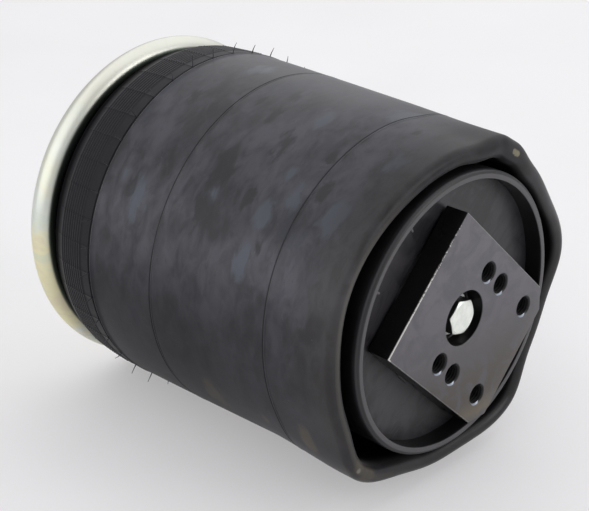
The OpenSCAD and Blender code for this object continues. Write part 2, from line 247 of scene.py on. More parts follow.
def lobe_outside(angles):
    """Radius of the lobe's outside at each angle, in metres."""
    first, first_radius = lobe_corners[0]
    places, radii = np.array([*lobe_corners, (first + 360, first_radius)]).T
    degrees = (np.degrees(angles) - first) % 360 + first
    i = np.clip(np.searchsorted(places, degrees, side="right") - 1, 0, len(places) - 2)
    t = (degrees - places[i]) / (places[i + 1] - places[i])
    from_low = np.where(radii[i] < radii[i + 1], t, 1 - t)
    share = ((1 - np.cos(math.pi * from_low)) / 2) ** corner_sharpness
    low = np.minimum(radii[i], radii[i + 1])
    high = np.maximum(radii[i], radii[i + 1])
    return (low + (high - low) * share) * mm


def column_angles():
    """Angles of the sleeve's columns, closer together at the vent lines."""
    step = 360 / vent_count
    near = [-0.5, -0.24, -0.08, 0.08, 0.24, 0.5]
    between = np.linspace(near[-1], step + near[0], 7)[1:-1]
    sector = np.array(near + list(between))
    return np.radians(np.concatenate([sector + step * i for i in range(vent_count)]) - 180)


rib_low_z = 222.5 * mm
rib_pitch = 2.35 * mm
rib_count = 9
rib_high_z = rib_low_z + rib_count * rib_pitch
rib_relief = 0.42 * mm
vent_relief = 0.25 * mm
# Each mould line is a groove with a low ridge under it: height, groove, ridge, half width
mould_lines = [
    (line_upper_z, 1.1 * mm, 0.45 * mm, 0.95 * mm),
    (line_middle_z, 0.3 * mm, 0.15 * mm, 0.55 * mm),
    (line_lower_z, 0.3 * mm, 0.15 * mm, 0.55 * mm),
]


def wall_heights():
    """Heights at which the wall has a row, close together at ribs and mould lines."""
    heights = list(np.linspace(neck_z, rib_high_z + 1 * mm, 26))
    heights += list(np.arange(rib_high_z, rib_low_z - 0.1 * mm, -rib_pitch / 6))
    for z, _, _, width in mould_lines:
        heights += list(z + width * np.linspace(-3, 1.4, 12))
    heights += list(np.arange(fold_mid.y + 2 * mm, rib_low_z, 3.2 * mm))
    heights = np.array(sorted(set(np.round(heights, 6)), reverse=True))
    keep = [heights[0]]
    for z in heights[1:]:
        if keep[-1] - z > 0.15 * mm:
            keep.append(z)
    return np.array(keep)


def wall_radius(z):
    """Radius of the wall's outside before it is pressed, without ribs and lines."""
    shape = smooth_line([
        (neck_z, roll_mid.x - 3.2 * mm), (throat_z + 1.5 * mm, roll_mid.x - 4.1 * mm),
        (throat_z - 1.5 * mm, roll_mid.x - 3.2 * mm), (throat_z - 5 * mm, upper_r - 7.4 * mm),
        (throat_z - 10 * mm, upper_r - 3.9 * mm), (throat_z - 17 * mm, upper_r - 1.7 * mm),
        (throat_z - 28 * mm, upper_r - 0.7 * mm),
        (line_upper_z, upper_r), (line_middle_z, upper_r - 0.7 * mm),
        (line_lower_z, lower_r), (32 * mm, lower_r - 0.3 * mm),
        (fold_mid.y, fold_mid.x + fold_r),
    ], 12)
    return np.interp(-np.asarray(z), -shape[:, 0], shape[:, 1])


def sleeve_path():
    """The outside of the sleeve: (r, z), relief, and 1 on the side that hugs the piston."""
    z = wall_heights()
    r = wall_radius(z)
    relief = np.zeros(len(z))
    ribs = (z > rib_low_z) & (z < rib_high_z)
    phase = (z - rib_low_z) / rib_pitch
    relief[ribs] += rib_relief * np.abs(np.sin(math.pi * phase[ribs])) ** 0.8
    for line_z, groove, ridge, width in mould_lines:
        relief -= groove * np.clip(1 - ((z - line_z) / width) ** 2, 0, 1)
        relief += ridge * np.clip(1 - ((z - line_z) / width + 2) ** 2, 0, 1)
    wall = np.stack([r, z], 1)
    fold = arc(fold_mid, fold_r, 0, -180, 24)
    shoulder_mid, shoulder_r = (74 * mm, crown_z - 12 * mm), 12.3 * mm
    # From hug_z up the roll lies on the piston, which narrows by taper from taper_z up
    hug_z, taper_z, taper = crown_z - 54 * mm, 50.2 * mm, 4.8 * mm
    hug_r = rim_r - (hug_z - taper_z) / (shoulder_mid[1] - taper_z) * taper
    roll = smooth_line([
        tuple(fold[-1]), (99.5 * mm, 34 * mm), (95.8 * mm, 58 * mm),
        (hug_r + 3.8 * mm, hug_z - 30 * mm), (hug_r + 0.4 * mm, hug_z),
        (shoulder_mid[0] + shoulder_r, shoulder_mid[1] - 6 * mm),
    ], 7)
    shoulder = arc(shoulder_mid, shoulder_r, 0, 90, 12)
    rows = np.concatenate([wall, fold, roll[1:], shoulder])
    inner = np.concatenate([
        np.zeros(len(wall)), np.linspace(0, 1, len(fold)), np.ones(len(roll) - 1 + len(shoulder))
    ])
    relief = np.concatenate([relief, np.zeros(len(rows) - len(wall))])
    return rows, relief, inner


path, path_relief, path_inner = sleeve_path()
# The row on the inner side where the wall's pieces end and the roll's begin
split_z = 24 * mm
split_row = int(np.argmax((path_inner >= 1) & (path[:, 1] > split_z)))


def outward(rows):
    """Outward direction at each row of the path."""
    along = np.gradient(rows, axis=0)
    along /= np.linalg.norm(along, axis=1)[:, None]
    return np.stack([-along[:, 1], along[:, 0]], 1)


path_out = outward(path)


def pressed(angles, first, last):
    """How far each point of the path is pushed out or in, in metres."""
    z = path[first:last, 1]
    share_wall = 1 - smoothstep((z - press_low_z) / (press_high_z - press_low_z))
    share_roll = 1 - smoothstep((z - fold_mid.y) / (press_inner_z - fold_mid.y))
    side = path_inner[first:last]
    share = share_wall * (1 - side) + share_roll * side
    push = (lobe_outside(angles) - (fold_mid.x + fold_r))[None] * share[:, None]
    middle, reach, growth = thick_fold
    near = smoothstep(1 - np.abs(np.degrees(angles) - middle) / reach)
    return push - growth * mm * near[None] * (side * share_roll)[:, None]


def vent_share(angles):
    """1 on the vent lines, which run along the axis."""
    step = np.radians(360 / vent_count)
    off = np.abs((angles + math.pi + step / 2) % step - step / 2)
    return np.clip(1.25 - off / np.radians(0.3), 0, 1)


def vent_band(first, last):
    """Which rows have vent lines: those of the wall between the upper line and its neck."""
    z = path[first:last, 1]
    band = (z > line_upper_z) & (z < rib_high_z + 4 * mm) & (path_inner[first:last] == 0)
    return band[:, None]


def layer_rows(angles, first, last, depth, relief=False):
    """3-D rows of a surface at a depth under the sleeve's outside."""
    base = path[first:last] - depth * path_out[first:last]
    r = base[:, :1] + pressed(angles, first, last)
    if relief:
        r = r + path_relief[first:last, None]
        r = r + vent_relief * vent_share(angles)[None] * vent_band(first, last)
    return around(r, base[:, 1:], angles)


def groove_shade_lines(angles, first, last):
    """Painted shade: 1 on mould lines and vent lines and in the grooves between the ribs."""
    z = path[first:last, 1]
    wall = path_inner[first:last] == 0
    line = np.zeros(len(z))
    for line_z, _, _, width in mould_lines:
        line = np.maximum(line, np.clip(1.3 - np.abs(z - line_z) / width, 0, 1))
    ribs = (z > rib_low_z) & (z < rib_high_z)
    groove = 0.75 * (1 - np.abs(np.sin(math.pi * (z - rib_low_z) / rib_pitch))) ** 1.5
    line = np.where(ribs, np.maximum(line, groove), line) * wall
    return np.maximum(line[:, None], 0.8 * vent_share(angles)[None] * vent_band(first, last))


def hollow_shade_share(angles, first, last):
    """Painted shade: 1 deep in the hollow beside the piston and under the bead plate's edge."""
    z = path[first:last, 1]
    side = path_inner[first:last]
    bearings, reach = zip(*light_reach)
    lit = np.interp(np.degrees(angles), bearings, reach, period=360)
    hollow_deep = 26 * mm
    under_z, under_fade = throat_z - 23 * mm, 11.5 * mm
    deep = side + (side == 1) * np.clip((z - fold_mid.y) / hollow_deep, 0, 1)
    beside = smoothstep((deep[:, None] - 0.48 - 0.3 * lit[None]) / 0.45)
    under = smoothstep((z - under_z) / under_fade) * (side == 0)
    return np.maximum(beside, under[:, None])


def sleeve_layer(name, first, last, depth, thickness, angles, relief=False):
    """A closed layer of the sleeve between two depths."""
    outer = layer_rows(angles, first, last, depth, relief)
    inner = layer_rows(angles, first, last, depth + thickness)
    back = np.unique(np.concatenate([np.arange(0, len(inner), 3), [len(inner) - 1]]))[::-1]
    rows = np.concatenate([outer, inner[back]])
    ink = np.zeros(rows.shape[:2])
    hollow = np.ones(rows.shape[:2])
    ink[: len(outer)] = groove_shade_lines(angles, first, last)
    hollow[: len(outer)] = hollow_shade_share(angles, first, last)
    return closed_ring(name, rows, 60, rest=rows.reshape(-1, 3), ink=ink.ravel(),
                       hollow=hollow.ravel())


fine_columns = column_angles()
plain_columns = even_angles(144)
path_end = len(path)
cover_wall = sleeve_layer("sleeve_cover_wall", 0, split_row + 1, 0, cover_t, fine_columns, True)
cover_roll = sleeve_layer("sleeve_cover_roll", split_row, path_end, 0, cover_t, fine_columns)
hidden_layers = []
for layer, depth, thickness in (
    ("outer_ply", 1.9 * mm, 0.75 * mm), ("inner_ply", 2.75 * mm, 0.8 * mm),
    ("sleeve_liner", 3.6 * mm, 1.2 * mm),
):
    for end, first, last in (("_wall", 0, split_row + 1), ("_roll", split_row, path_end)):
        hidden_layers.append((layer, sleeve_layer(
            layer + end, first, last, depth, thickness, plain_columns)))


def whisker(place, direction, length, bend):
    """A thin rubber hair left by a vent of the mould."""
    side = direction.cross(Vector((0, 0, 1))).normalized()
    other = direction.cross(side)
    rows = []
    for i in range(9):
        t = i / 8
        middle = place + direction * (length * t) + bend * t * t
        radius = (0.42 - 0.25 * t) * mm
        rows.append([
            middle + side * (radius * math.cos(a)) + other * (radius * math.sin(a))
            for a in even_angles(6)
        ])
    return capped("whisker", rows, 80)


def make_whiskers():
    """A whisker on the upper mould line at the end of each vent line."""
    rng = np.random.default_rng(7)
    shortest, longest, curl = 5.2, 7.6, 0.9 * mm
    hairs = []
    for i in range(vent_count):
        angle = math.radians(i * 360 / vent_count - 180)
        out = Vector((math.cos(angle), math.sin(angle), 0))
        place = out * (upper_r + 0.2 * mm) + Vector((0, 0, line_upper_z + 0.4 * mm))
        bend = Vector(rng.normal(0, 1, 3)) * curl
        hairs.append(whisker(place, out, rng.uniform(shortest, longest) * mm, bend))
    return joined("vent_whiskers", hairs)


whiskers = make_whiskers()


def make_bead():
    """The sleeve's thick edge round its wire, inside the roll of the bead plate."""
    bead_size = roll_r - sheet_t - 0.35 * mm
    round_part = arc(tuple(roll_mid), bead_size, -100, 205, 44)
    neck = [(roll_mid.x - 7.9 * mm, neck_z + 0.6 * mm), (roll_mid.x - 3.4 * mm, neck_z + 0.2 * mm)]
    rows = turned(np.concatenate([round_part, neck]), plain_columns)
    return closed_ring("upper_bead_rubber", rows, 35)


upper_bead = make_bead()


# Threads and studs: radius and pitch of the plain stud's thread and of the inlet stud's,
# and the pipe thread in the inlet's bore

coarse_r, coarse_pitch = 6.35 * mm, 1.954 * mm
fine_r, fine_pitch = 9.525 * mm, 1.588 * mm
pipe_r, pipe_pitch, pipe_deep = 5.55 * mm, 1.41 * mm, 15 * mm
passage_r = 3.25 * mm


def thread_profile(turns):
    """Depth of a thread from 0 at the crest to 1 at the root, for a place in turns."""
    t = np.abs((turns % 1) * 2 - 1)
    return np.clip((t - 0.12) / 0.76, 0, 1)


def threaded_rows(radius, depth, pitch, low_z, high_z, columns, chamfer=0.0):
    """Rows of a screw thread round the axis."""
    angles = even_angles(columns)
    heights = np.arange(low_z, high_z + pitch / 16, pitch / 8)
    turns = heights[:, None] / pitch - angles[None] / (2 * math.pi)
    r = radius - depth * thread_profile(turns)
    if chamfer:
        top = heights[-1] - heights[:, None]
        r = np.minimum(r, radius - chamfer + np.clip(top, 0, chamfer))
    return around(r, heights[:, None], angles)


def moved(rows, x, y=0.0):
    return np.asarray(rows) + np.array([x, y, 0])


def make_stud(name, x, low, high, radius, pitch, bored=False):
    """A weld stud: collar under the plate, smooth root and rolled thread."""
    angles = even_angles(64)
    under_z = face_z - sheet_t
    collar_r = radius + 4.5 * mm
    foot = turned([
        (collar_r - 0.5 * mm, low.z), (collar_r, low.z + 0.5 * mm), (collar_r, under_z - 0.02 * mm),
        (radius + 0.6 * mm, under_z), (radius + 0.6 * mm, face_z + 0.02 * mm),
        (radius - 0.1 * mm, face_z + 0.4 * mm), (radius - 0.1 * mm, face_z + 2.5 * mm),
        (radius - 0.62 * mm, face_z + 3.2 * mm),
    ], angles)
    thread = threaded_rows(radius, 0.62 * pitch, pitch, face_z + 3.4 * mm, high.z, 64, 1.4 * mm)
    rows = np.concatenate([foot, thread])
    if not bored:
        return capped(name, moved(rows, x), 30)
    end_z = high.z - pipe_deep
    inner = threaded_rows(pipe_r, -0.55 * pipe_pitch, pipe_pitch, end_z, high.z, 64)[::-1]
    passage = turned([
        (pipe_r, end_z - 0.3 * mm), (passage_r, end_z - 1.5 * mm), (passage_r, low.z)], angles)
    lead = turned([(pipe_r + 1.1 * mm, high.z)], angles)
    return closed_ring(name, moved(np.concatenate([rows, lead, inner[1:], passage]), x), 30)


plain_stud = make_stud("stud", stud_x, stud_low, stud_high, coarse_r, coarse_pitch)
inlet_stud = make_stud("inlet_stud", inlet_x, inlet_low, inlet_high, fine_r, fine_pitch, True)


# The bead plate

def make_bead_plate():
    """Pressed disc with its edge rolled round the sleeve's bead."""
    mid = tuple(roll_mid)
    lip_angle = -96
    lip_mid = roll_mid + (roll_r - sheet_t / 2) * Vector((
        math.cos(math.radians(lip_angle)), math.sin(math.radians(lip_angle))))
    edge_z = roll_mid.y + roll_r
    # The flat seat ends in a slope down to the edge; inside the hub the sheet has no rings
    seat, hub, hub_hole = 94 * mm, 55 * mm, 0.5 * mm
    top = smooth_line([
        (seat - 1.5 * mm, face_z), (seat + 0.6 * mm, face_z - 0.25 * mm),
        (seat + 2.6 * mm, edge_z + 0.25 * mm), (seat + 5 * mm, edge_z),
    ], 4)
    outside = arc(mid, roll_r, 90, lip_angle, 40)
    lip = arc(tuple(lip_mid), sheet_t / 2, lip_angle, lip_angle - 180, 8)
    inside = arc(mid, roll_r - sheet_t, lip_angle, 90, 40)
    under = smooth_line([
        (seat + 5 * mm, edge_z - sheet_t), (seat + 2 * mm, edge_z - sheet_t + 0.25 * mm),
        (seat, face_z - sheet_t - 0.25 * mm), (seat - 2 * mm, face_z - sheet_t),
    ], 4)
    profile = np.concatenate([
        [(hub_hole, face_z), (hub, face_z)], top, outside, lip[1:-1], inside, under,
        [(hub, face_z - sheet_t), (hub_hole, face_z - sheet_t)],
    ])
    plate = capped("bead_plate_pressed", turned(profile[::-1], even_angles(288)), 35)
    cutters = []
    for x, radius in ((stud_x, coarse_r + 0.65 * mm), (inlet_x, fine_r + 0.65 * mm)):
        hole = turned([(radius, face_z - 10 * mm), (radius, face_z + 10 * mm)], even_angles(64))
        cutters.append(capped("hole", moved(hole, x)))
    return cut(plate, cutters, 35)


bead_plate = make_bead_plate()


# The mounting plate

hole_places = [(x * mm, side * 31.75 * mm) for x in (0, 18, 54) for side in (-1, 1)]
hole_r = 6.4 * mm
hole_thread_r = 5.5 * mm
recess_r = 17.8 * mm
recess_deep = 12 * mm
shank_r = 7.15 * mm


def cylinder(radii_and_heights, place, columns=64):
    x, y = place
    return capped("cutter", moved(turned(radii_and_heights, even_angles(columns)), x, y))


def make_mounting_plate():
    """Ground steel plate with its edges broken, six threaded holes and a recess."""
    half = plate_high.y
    far = plate_high.x
    corner_x, corner_y = 12 * mm, 11 * mm
    outline = [
        (plate_low.x, -half), (far - corner_x, -half), (far, corner_y - half),
        (far, half - corner_y), (far - corner_x, half), (plate_low.x, half),
    ]
    work = bmesh.new()
    low = [work.verts.new((x, y, 0)) for x, y in outline]
    face = work.faces.new(low)
    grown = bmesh.ops.extrude_face_region(work, geom=[face])
    top = [v for v in grown["geom"] if isinstance(v, bmesh.types.BMVert)]
    bmesh.ops.translate(work, verts=top, vec=(0, 0, plate_high.z))
    bmesh.ops.recalc_face_normals(work, faces=work.faces)
    bmesh.ops.bevel(work, geom=work.edges[:], offset=0.55 * mm, segments=3, profile=0.6,
                    affect="EDGES")
    mesh = bpy.data.meshes.new("mounting_plate_ground")
    work.to_mesh(mesh)
    work.free()
    plate = placed("mounting_plate_ground", mesh)
    beyond = plate_high.z + 1 * mm
    chamfer = 1.1 * mm
    cutters = [
        cylinder([(hole_r + chamfer + 1 * mm, -1 * mm), (hole_r, chamfer), (hole_r, beyond)], place)
        for place in hole_places
    ]
    cutters.append(cylinder([
        (recess_r + 1.4 * mm, -1 * mm), (recess_r, 0.4 * mm), (recess_r, recess_deep - 0.5 * mm),
        (recess_r - 0.5 * mm, recess_deep), (shank_r, recess_deep), (shank_r, beyond),
    ], (0, 0), 96))
    return cut(plate, cutters, 25)


def make_hole_threads():
    """The threads in the six holes."""
    low, high, slack = 1.3 * mm, 15.9 * mm, 0.05 * mm
    back_r = hole_r + 0.02 * mm
    inside = threaded_rows(hole_thread_r, -0.8 * mm, coarse_pitch, low, high, 48)
    back = turned([(back_r, high + slack), (back_r, low - slack)], even_angles(48))
    rows = np.concatenate([inside, back])
    return joined("mounting_plate_threads", [
        closed_ring("thread", moved(rows, x, y), 35) for x, y in hole_places])


mounting_plate = make_mounting_plate()
hole_threads = make_hole_threads()


# The moulded rim of the piston

rim_face_z = 5.6 * mm


def make_rim():
    """The rounded edge of the piston's rim, fitted over the wall of the moulding."""
    inside, outside = rim_r - 5.1 * mm, rim_r + 0.15 * mm
    soft, round_r = 0.5 * mm, 2.8 * mm
    inside_z, draft_z, outside_z, back_z = 17.6 * mm, 10 * mm, 18 * mm, 19.5 * mm
    section = np.concatenate([
        [(inside, inside_z)],
        arc((inside + soft, rim_face_z + soft), soft, 180, 270, 5),
        arc((outside - round_r, rim_face_z + round_r), round_r, 270, 360, 8),
        [(outside + 0.05 * mm, draft_z), (outside, outside_z), (outside - 0.4 * mm, back_z),
         (rim_r - 2.5 * mm, back_z)],
    ])
    return closed_ring("piston_rim", turned(section, even_angles(288)), 50)


def make_rim_flash():
    """Two specks of flash on the inner edge of the rim."""
    specks = []
    rng = np.random.default_rng(3)
    for angle in np.radians((-166.5, 165.5)):
        out = Vector((math.cos(angle), math.sin(angle), 0))
        across = Vector((math.sin(angle), -math.cos(angle), 0))
        base = out * (rim_r - 4.6 * mm) + Vector((0, 0, rim_face_z + 1.2 * mm))
        rows = []
        for i in range(5):
            t = i / 4
            radius = (1.0 - 0.6 * t) * mm
            middle = base - out * (3.2 * mm * t) - Vector((0, 0, 0.6 * mm * t))
            rows.append([
                middle + across * (radius * math.cos(a) * 1.5)
                + Vector((0, 0, 1)) * (radius * math.sin(a) * rng.uniform(0.7, 1.1))
                for a in even_angles(8)
            ])
        specks.append(capped("speck", rows, 60))
    return joined("piston_rim_flash", specks)


piston_rim = make_rim()
rim_flash = make_rim_flash()


# Directions of the photograph: up from the floor, along the spring's axis and across it
world_up = Vector((-0.694, -0.720, 0)).normalized()
along_axis = Vector((0, 0, 1))
sideways = along_axis.cross(world_up)


# Finishes

def paint(*display):
    """Linear colour of a display colour: red, green and blue up to 255."""
    return tuple(
        c / 255 / 12.92 if c / 255 <= 0.04045 else ((c / 255 + 0.055) / 1.055) ** 2.4
        for c in display
    ) + (1.0,)


def plug(socket, value):
    """Links a wire to a socket, or sets its value."""
    if isinstance(value, Wire):
        socket.id_data.links.new(value.socket, socket)
    else:
        socket.default_value = value


class Wire:
    """An output socket; arithmetic on it adds Math nodes."""

    def __init__(self, socket):
        self.socket = socket

    def math(self, operation, first, second=0.0):
        node = self.socket.id_data.nodes.new("ShaderNodeMath")
        node.operation = operation
        plug(node.inputs[0], first)
        plug(node.inputs[1], second)
        return Wire(node.outputs[0])

    def __add__(self, other):
        return self.math("ADD", self, other)

    def __radd__(self, other):
        return self.math("ADD", other, self)

    def __sub__(self, other):
        return self.math("SUBTRACT", self, other)

    def __rsub__(self, other):
        return self.math("SUBTRACT", other, self)

    def __mul__(self, other):
        return self.math("MULTIPLY", self, other)

    def __rmul__(self, other):
        return self.math("MULTIPLY", other, self)

    def __abs__(self):
        return self.math("ABSOLUTE", self)

    def least(self, other):
        return self.math("MINIMUM", self, other)

    def most(self, other):
        return self.math("MAXIMUM", self, other)


class Nodes:
    """The nodes of a material or of the world."""

    def __init__(self, tree):
        self.tree = tree

    def node(self, kind, settings, inputs, output=0):
        """A node of that type: settings first, then its sockets; gives one output."""
        made = self.tree.nodes.new(kind)
        for key, value in settings.items():
            setattr(made, key, value)
        for key, value in inputs.items():
            plug(made.inputs[key], value)
        return Wire(made.outputs[output])

    def ray(self, kind):
        """1 for light paths of that kind."""
        return self.node("ShaderNodeLightPath", {}, {}, kind)

    def blended(self, share, first, second):
        """Shader first where share is 0 and second where it is 1."""
        return self.node("ShaderNodeMixShader", {}, {0: share, 1: first, 2: second})

    def show(self, surface):
        """Makes that shader the one that is seen."""
        output = next(n for n in self.tree.nodes if n.type.startswith("OUTPUT"))
        plug(output.inputs["Surface"], surface)


class Finish(Nodes):
    """A material under construction, with one surface shader."""

    def __init__(self, name, roughness=0.5, metallic=0.0, **values):
        self.material = bpy.data.materials.new(name)
        self.material.use_nodes = True
        super().__init__(self.material.node_tree)
        self.shader = self.tree.nodes["Principled BSDF"]
        self.surface = Wire(self.shader.outputs[0])
        self.set(Roughness=roughness, Metallic=metallic, **values)

    def set(self, **values):
        """Sets or links the shader's sockets; gives the material."""
        for key, value in values.items():
            plug(self.shader.inputs[key.replace("_", " ")], value)
        return self.material

    def place(self):
        return self.node("ShaderNodeTexCoord", {}, {}, "Object")

    def stored(self, name, output="Vector"):
        return self.node("ShaderNodeAttribute", {"attribute_name": name}, {}, output)

    def noise(self, place, size, detail=4.0, roughness=0.55, distortion=0.0):
        """Cloudy noise whose blotches are about size across, in metres."""
        return self.node("ShaderNodeTexNoise", {}, {
            "Vector": place, "Scale": 1 / size, "Detail": detail, "Roughness": roughness,
            "Distortion": distortion,
        }, "Fac")

    def strands(self, place, scale, distortion, direction):
        """Even bands across a direction, about as many as scale in 0.3 m."""
        return self.node("ShaderNodeTexWave", {"bands_direction": direction}, {
            "Vector": place, "Scale": scale, "Distortion": distortion}, "Fac")

    def vector(self, operation, *inputs, output="Value"):
        """A Vector Math node."""
        settings = {"operation": operation}
        return self.node("ShaderNodeVectorMath", settings, dict(enumerate(inputs)), output)

    def scaled(self, place, x, y, z):
        """The place stretched along its axes."""
        return self.vector("MULTIPLY", place, (x, y, z), output="Vector")

    def part(self, place, axis):
        return self.node("ShaderNodeSeparateXYZ", {}, {0: place}, axis)

    def radius(self, place):
        """Distance from the spring's axis."""
        return self.vector("LENGTH", self.scaled(place, 1, 1, 0))

    def distance(self, place, *points):
        """Distance to the nearest of the points."""
        return reduce(Wire.least, [
            self.vector("DISTANCE", place, tuple(point)) for point in points])

    def along(self, place, direction):
        """How far the place lies along a direction from the axis."""
        return self.vector("DOT_PRODUCT", place, tuple(direction))

    def nearest_mark(self, place, marks):
        """Distance to the nearest mark, where 1 is its end; it reaches half as far along Z."""
        flat = self.scaled(place, 1, 1, 2)
        away = []
        for degrees, height, reach in marks:
            angle = math.radians(degrees)
            middle = Vector((lower_r * math.cos(angle), lower_r * math.sin(angle), 2 * height * mm))
            away.append(self.distance(flat, middle) * (1 / (reach * mm)))
        return reduce(Wire.least, away)

    def mask(self, value, low, high):
        """0 below low, 1 above high and smooth between them; low may be above high."""
        return self.node("ShaderNodeMapRange", {"interpolation_type": "SMOOTHSTEP"}, {
            "Value": value, "From Min": low, "From Max": high, "To Min": 0.0, "To Max": 1.0,
        })

    def mix(self, share, first, second):
        """Colour first where share is 0 and second where it is 1."""
        return self.node("ShaderNodeMix", {"data_type": "RGBA"}, {0: share, 6: first, 7: second}, 2)

    def layered(self, colour, *layers):
        """The colour under layers of others, each as (share, red, green, blue)."""
        for share, *display in layers:
            colour = self.mix(share, colour, paint(*display))
        return colour

    def bump(self, height, distance, strength=1.0):
        """Relief of the surface, with its height in metres where height is 1."""
        return self.node("ShaderNodeBump", {}, {
            "Height": height, "Distance": distance, "Strength": strength})

    def painted_shade(self, share, colour):
        """Lays a colour without gloss over the surface, by the share, as painted shade."""
        over = self.node("ShaderNodeBsdfPrincipled", {}, {
            "Base Color": colour, "Roughness": 1.0, "Specular IOR Level": 0.0})
        self.show(self.blended(share, self.surface, over))


# Marks of handling on the wall, as (degrees round the axis, height and reach in mm):
# where the pale bloom is wiped off, where it lies thick, and where dirt is rubbed in,
# which at the corner of the fold is also painted light
thin_bloom = [
    (-157, 186, 10), (-158.5, 167, 8), (168, 188, 8), (-176, 125, 19), (-161, 100, 14),
    (168.5, 127, 15), (164.5, 76, 8), (178.5, 98, 11), (-153, 123, 9), (-173, 55, 12),
    (-160.5, 64, 11), (-141, 126, 9), (-149, 142, 7), (-150, 38, 9), (-132, 45, 8),
    (-126, 32, 10),
]
thick_bloom = [
    (166, 179, 19), (174.5, 82, 15), (-177, 69, 13), (-178, 37, 18), (171.5, 197, 9),
    (175.5, 124, 9), (-151, 31, 15), (161.7, 85, 15), (-148, 92, 12), (-133, 176, 17),
    (-127, 66, 16), (-171, 80, 9),
]
dirt_and_painted_light = [(104, 74, 6), (105, 117, 20), (103, 40, 14), (92, 5, 16)]
# Two places on the lobe scuffed down to tan, in spots: place and reach in mm, and colour
tan_spots = [
    ((-25.0, -101.5, 8.8), 1.7, (168, 160, 130)), ((-22.6, -102.0, 8.8), 1.9, (168, 160, 130)),
    ((-20.2, -102.4, 8.8), 1.7, (168, 160, 130)),
    ((-9.3, 111.0, 8.8), 1.5, (140, 135, 128)),
]
# Towards the left of the photograph, across the spring's axis
leftward = Vector((-0.72, 0.694, 0))


def rubber_finish(name, worn_and_shaded):
    """Vulcanised rubber with a cloudy bloom; worn_and_shaded adds the handled look of the outside,
    with its painted shade and highlights.
    """
    f = Finish(name, Specular_IOR_Level=0.36, Sheen_Weight=0.28, Sheen_Roughness=0.32)
    place = f.stored("rest") if worn_and_shaded else f.place()
    height = f.part(place, "Z")
    cloud = f.noise(f.scaled(place, 1, 1, 1.3), 50 * mm, 4, 0.55, 0.3)
    dab = f.noise(f.scaled(place, 1, 1, 2), 19 * mm, 3, 0.52, 0.5)
    streak = f.noise(f.scaled(place, 1, 1, 2.4), 10 * mm, 4, 0.55, 0.4)
    speck = f.noise(place, 2.2 * mm, 3, 0.6)
    bloom = f.mask(cloud * 0.5 + dab * 0.4 + streak * 0.1, 0.36, 0.64)
    if worn_and_shaded:
        # painted shade: less bloom, so darker, on the low side
        down = f.along(place, -world_up)
        bloom = bloom * (1 - f.mask(down, -60 * mm, 30 * mm) * 0.55)
    blue = f.mask(f.noise(f.scaled(place, 1, 1, 1.6), 30 * mm, 3, 0.55, 0.6), 0.58, 0.7)
    colour = f.layered(
        f.mix(bloom, paint(42, 40, 45), paint(84, 83, 90)),
        (f.mask(streak, 0.56, 0.7) * 0.3, 38, 36, 40),
        (blue * 0.4, 52, 56, 67),
    )
    if worn_and_shaded:
        ragged = (dab - 0.5) * 2.2 + (streak - 0.5) * 1.2
        band = f.mask(height, line_upper_z - 0.5 * mm, line_upper_z + 1.5 * mm)
        # painted highlight along the rolled apex of the fold, on the left
        rolled = f.mask(height, lobe_z + 0.45 * mm, lobe_z + 0.05 * mm) * f.mask(
            f.along(place, leftward), 30 * mm, 70 * mm)
        colour = f.layered(
            colour,
            (f.mask(f.nearest_mark(place, thick_bloom) + ragged, 1.05, 0.35) * 0.7, 88, 93, 104),
            (f.mask(f.nearest_mark(place, thin_bloom) + ragged, 1.05, 0.5) * 0.75, 38, 36, 39),
            (f.mask(height, 50 * mm, 8 * mm) * f.mask(cloud, 0.25, 0.55) * 0.55, 52, 49, 43),
            (f.mask(down, 85 * mm, 112 * mm) * 0.45, 56, 52, 45),
            # dirt rubbed in; at the corner of the fold also painted light
            (f.mask(f.nearest_mark(place, dirt_and_painted_light) + ragged, 1.1, 0.3) * 0.7, 98, 90, 76),
            (band * 0.85, 35, 33, 38),
            (f.mask(speck, 0.66, 0.76) * 0.2, 110, 110, 114),
            # painted shade in the mould lines, the vent lines and the grooves between the ribs
            (f.stored("ink", "Fac") * 0.9, 6, 5, 7),
            # painted highlight, olive, on the rolled edge of the fold
            (rolled * 0.5, 88, 85, 76),
        )
        for spot, reach, tint in tan_spots:
            away = f.distance(place, Vector(spot) * mm) + (speck - 0.5) * 1.5 * mm
            worn_off = f.mask(away, (reach + 0.7) * mm, (reach - 0.5) * mm)
            colour = f.mix(worn_off * 0.9, colour, paint(*tint))
        # painted shade: a dark colour without gloss laid over the low side and the upper one, half
        # over the ribbed band, and deep in the hollow
        low = f.mask(down, -50 * mm, 10 * mm) * (f.mask(height, 40 * mm, 130 * mm) * 0.22 + 0.26)
        upper = f.mask(down, -40 * mm, -95 * mm) * (f.mask(height, 60 * mm, 20 * mm) * 0.2 + 0.26)
        painted_shade = low.most(upper).most(band * 0.5).most(f.stored("hollow", "Fac") * 0.96)
        f.painted_shade(painted_shade, paint(10, 9, 12))
    grain = f.noise(place, 1.0 * mm, 3, 0.6)
    return f.set(Base_Color=colour, Roughness=0.34 + bloom * 0.12,
                 Normal=f.bump(grain * 0.5 + dab, 0.12 * mm, 0.6))


def cord_finish(name):
    """Rubbered cord: fine slanting strands."""
    f = Finish(name, 0.7)
    strands = f.strands(f.stored("rest"), 160, 0.6, "DIAGONAL")
    colour = f.mix(strands * 0.6, paint(92, 80, 62), paint(150, 134, 104))
    return f.set(Base_Color=colour, Normal=f.bump(strands, 0.2 * mm))


